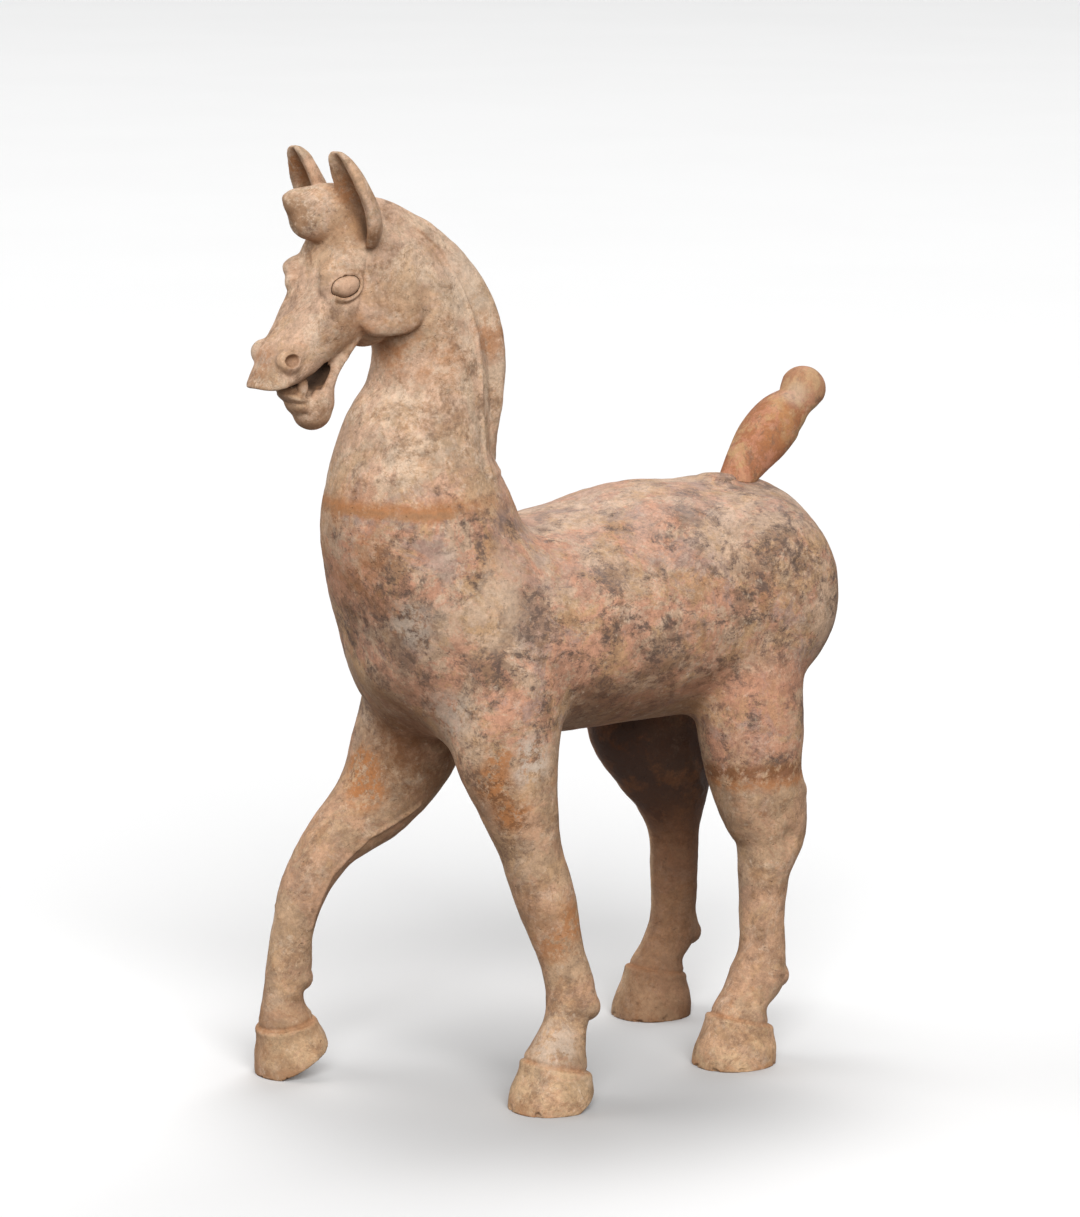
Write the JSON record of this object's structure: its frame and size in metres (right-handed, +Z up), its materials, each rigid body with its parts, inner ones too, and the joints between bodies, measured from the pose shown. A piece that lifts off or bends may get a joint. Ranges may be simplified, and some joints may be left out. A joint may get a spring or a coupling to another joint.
{
  "type": "terracotta horse figure",
  "caption": "Hollow terracotta horse at a stride, head tucked and mouth open, raised clubbed tail set in the rump.",
  "frame": {"origin": "on the floor, under the middle of the horse's length and width", "axes": "+Z up, -X the way the horse faces, -Y the horse's left side"},
  "size_m": [0.8163, 0.3954, 1.1235],
  "materials": {
    "buff_terracotta": "matte",
    "orange_terracotta": "matte"
  },
  "bodies": {
    "root": {"horse": "buff_terracotta", "tail": "orange_terracotta"}
  },
  "joints": []
}
